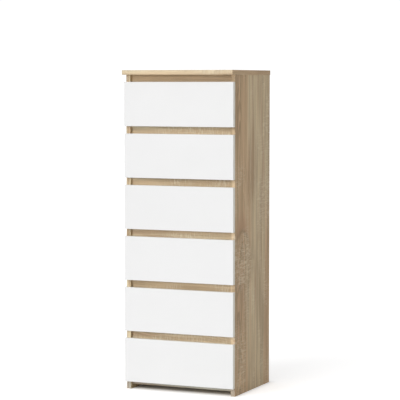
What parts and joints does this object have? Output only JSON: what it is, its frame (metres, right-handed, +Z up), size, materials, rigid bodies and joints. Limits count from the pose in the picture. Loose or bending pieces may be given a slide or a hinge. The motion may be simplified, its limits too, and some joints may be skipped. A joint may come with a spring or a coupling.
{
  "type": "chest of drawers",
  "caption": "Tall narrow chest of drawers with a sawn-oak board carcass, white handle-less overlay fronts, finger gaps and drawers on roller runners.",
  "frame": {"origin": "on the floor, under the middle of the chest's outer box", "axes": "+Z up, +Y to the back, the drawers open towards -Y, +X to the right seen from the front"},
  "size_m": [0.416, 0.3534, 1.12],
  "materials": {
    "sawn_oak_board": "matt sawn-oak decor",
    "white_front_board": "matt white laminate",
    "white_box_board": "matt white melamine",
    "white_hardboard": "white lacquered hardboard",
    "coated_steel": "white epoxy coat",
    "roller_nylon": "natural nylon",
    "bright_steel": "zinc plated",
    "zinc_casting": "die cast",
    "beech": "raw"
  },
  "bodies": {
    "carcass": {"top_panel": "sawn_oak_board", "left_side_panel": "sawn_oak_board", "right_side_panel": "sawn_oak_board", "bottom_panel": "sawn_oak_board", "rail_1": "sawn_oak_board", "rail_2": "sawn_oak_board", "rail_3": "sawn_oak_board", "rail_4": "sawn_oak_board", "rail_5": "sawn_oak_board", "rail_6": "sawn_oak_board", "back_panel": "white_hardboard", "back_nails": "bright_steel", "cam_locks": "zinc_casting", "cam_bolts": "bright_steel", "wood_dowels": "beech", "cabinet_runners_left": "coated_steel", "cabinet_runners_right": "coated_steel", "runner_screws": "bright_steel"},
    "drawer_1": {"drawer_1_front": "white_front_board", "drawer_1_sides": "white_box_board", "drawer_1_back": "white_box_board", "drawer_1_bottom": "white_hardboard", "drawer_1_runners": "coated_steel"},
    "drawer_1_rollers": {"drawer_1_rollers": "roller_nylon"},
    "cabinet_rollers_1": {"cabinet_rollers_1": "roller_nylon"},
    "drawer_2": {"drawer_2_front": "white_front_board", "drawer_2_sides": "white_box_board", "drawer_2_back": "white_box_board", "drawer_2_bottom": "white_hardboard", "drawer_2_runners": "coated_steel"},
    "drawer_2_rollers": {"drawer_2_rollers": "roller_nylon"},
    "cabinet_rollers_2": {"cabinet_rollers_2": "roller_nylon"},
    "drawer_3": {"drawer_3_front": "white_front_board", "drawer_3_sides": "white_box_board", "drawer_3_back": "white_box_board", "drawer_3_bottom": "white_hardboard", "drawer_3_runners": "coated_steel"},
    "drawer_3_rollers": {"drawer_3_rollers": "roller_nylon"},
    "cabinet_rollers_3": {"cabinet_rollers_3": "roller_nylon"},
    "drawer_4": {"drawer_4_front": "white_front_board", "drawer_4_sides": "white_box_board", "drawer_4_back": "white_box_board", "drawer_4_bottom": "white_hardboard", "drawer_4_runners": "coated_steel"},
    "drawer_4_rollers": {"drawer_4_rollers": "roller_nylon"},
    "cabinet_rollers_4": {"cabinet_rollers_4": "roller_nylon"},
    "drawer_5": {"drawer_5_front": "white_front_board", "drawer_5_sides": "white_box_board", "drawer_5_back": "white_box_board", "drawer_5_bottom": "white_hardboard", "drawer_5_runners": "coated_steel"},
    "drawer_5_rollers": {"drawer_5_rollers": "roller_nylon"},
    "cabinet_rollers_5": {"cabinet_rollers_5": "roller_nylon"},
    "drawer_6": {"drawer_6_front": "white_front_board", "drawer_6_sides": "white_box_board", "drawer_6_back": "white_box_board", "drawer_6_bottom": "white_hardboard", "drawer_6_runners": "coated_steel"},
    "drawer_6_rollers": {"drawer_6_rollers": "roller_nylon"},
    "cabinet_rollers_6": {"cabinet_rollers_6": "roller_nylon"}
  },
  "joints": [
    {"name": "drawer_1_slide", "type": "slide", "parent": "carcass", "child": "drawer_1", "axis": [0, -1, 0], "range_m": [0, 0.225]},
    {"name": "drawer_1_rollers_spin", "type": "hinge", "parent": "drawer_1", "child": "drawer_1_rollers", "pos_m": [0, 0.1428, 0.9483], "axis": [1, 0, 0], "continuous": true},
    {"name": "cabinet_rollers_1_spin", "type": "hinge", "parent": "carcass", "child": "cabinet_rollers_1", "pos_m": [0, -0.1307, 0.9507], "axis": [1, 0, 0], "continuous": true},
    {"name": "drawer_2_slide", "type": "slide", "parent": "carcass", "child": "drawer_2", "axis": [0, -1, 0], "range_m": [0, 0.225]},
    {"name": "drawer_2_rollers_spin", "type": "hinge", "parent": "drawer_2", "child": "drawer_2_rollers", "pos_m": [0, 0.1428, 0.7688], "axis": [1, 0, 0], "continuous": true},
    {"name": "cabinet_rollers_2_spin", "type": "hinge", "parent": "carcass", "child": "cabinet_rollers_2", "pos_m": [0, -0.1307, 0.7712], "axis": [1, 0, 0], "continuous": true},
    {"name": "drawer_3_slide", "type": "slide", "parent": "carcass", "child": "drawer_3", "axis": [0, -1, 0], "range_m": [0, 0.225]},
    {"name": "drawer_3_rollers_spin", "type": "hinge", "parent": "drawer_3", "child": "drawer_3_rollers", "pos_m": [0, 0.1428, 0.5893], "axis": [1, 0, 0], "continuous": true},
    {"name": "cabinet_rollers_3_spin", "type": "hinge", "parent": "carcass", "child": "cabinet_rollers_3", "pos_m": [0, -0.1307, 0.5917], "axis": [1, 0, 0], "continuous": true},
    {"name": "drawer_4_slide", "type": "slide", "parent": "carcass", "child": "drawer_4", "axis": [0, -1, 0], "range_m": [0, 0.225]},
    {"name": "drawer_4_rollers_spin", "type": "hinge", "parent": "drawer_4", "child": "drawer_4_rollers", "pos_m": [0, 0.1428, 0.4098], "axis": [1, 0, 0], "continuous": true},
    {"name": "cabinet_rollers_4_spin", "type": "hinge", "parent": "carcass", "child": "cabinet_rollers_4", "pos_m": [0, -0.1307, 0.4122], "axis": [1, 0, 0], "continuous": true},
    {"name": "drawer_5_slide", "type": "slide", "parent": "carcass", "child": "drawer_5", "axis": [0, -1, 0], "range_m": [0, 0.225]},
    {"name": "drawer_5_rollers_spin", "type": "hinge", "parent": "drawer_5", "child": "drawer_5_rollers", "pos_m": [0, 0.1428, 0.2303], "axis": [1, 0, 0], "continuous": true},
    {"name": "cabinet_rollers_5_spin", "type": "hinge", "parent": "carcass", "child": "cabinet_rollers_5", "pos_m": [0, -0.1307, 0.2327], "axis": [1, 0, 0], "continuous": true},
    {"name": "drawer_6_slide", "type": "slide", "parent": "carcass", "child": "drawer_6", "axis": [0, -1, 0], "range_m": [0, 0.225]},
    {"name": "drawer_6_rollers_spin", "type": "hinge", "parent": "drawer_6", "child": "drawer_6_rollers", "pos_m": [0, 0.1428, 0.0508], "axis": [1, 0, 0], "continuous": true},
    {"name": "cabinet_rollers_6_spin", "type": "hinge", "parent": "carcass", "child": "cabinet_rollers_6", "pos_m": [0, -0.1307, 0.0532], "axis": [1, 0, 0], "continuous": true}
  ],
  "couplings": [
    {"joint": "drawer_1_rollers_spin", "follows": "drawer_1_slide", "rad_per_m": 111.11},
    {"joint": "cabinet_rollers_1_spin", "follows": "drawer_1_slide", "rad_per_m": 111.11},
    {"joint": "drawer_2_rollers_spin", "follows": "drawer_2_slide", "rad_per_m": 111.11},
    {"joint": "cabinet_rollers_2_spin", "follows": "drawer_2_slide", "rad_per_m": 111.11},
    {"joint": "drawer_3_rollers_spin", "follows": "drawer_3_slide", "rad_per_m": 111.11},
    {"joint": "cabinet_rollers_3_spin", "follows": "drawer_3_slide", "rad_per_m": 111.11},
    {"joint": "drawer_4_rollers_spin", "follows": "drawer_4_slide", "rad_per_m": 111.11},
    {"joint": "cabinet_rollers_4_spin", "follows": "drawer_4_slide", "rad_per_m": 111.11},
    {"joint": "drawer_5_rollers_spin", "follows": "drawer_5_slide", "rad_per_m": 111.11},
    {"joint": "cabinet_rollers_5_spin", "follows": "drawer_5_slide", "rad_per_m": 111.11},
    {"joint": "drawer_6_rollers_spin", "follows": "drawer_6_slide", "rad_per_m": 111.11},
    {"joint": "cabinet_rollers_6_spin", "follows": "drawer_6_slide", "rad_per_m": 111.11}
  ]
}
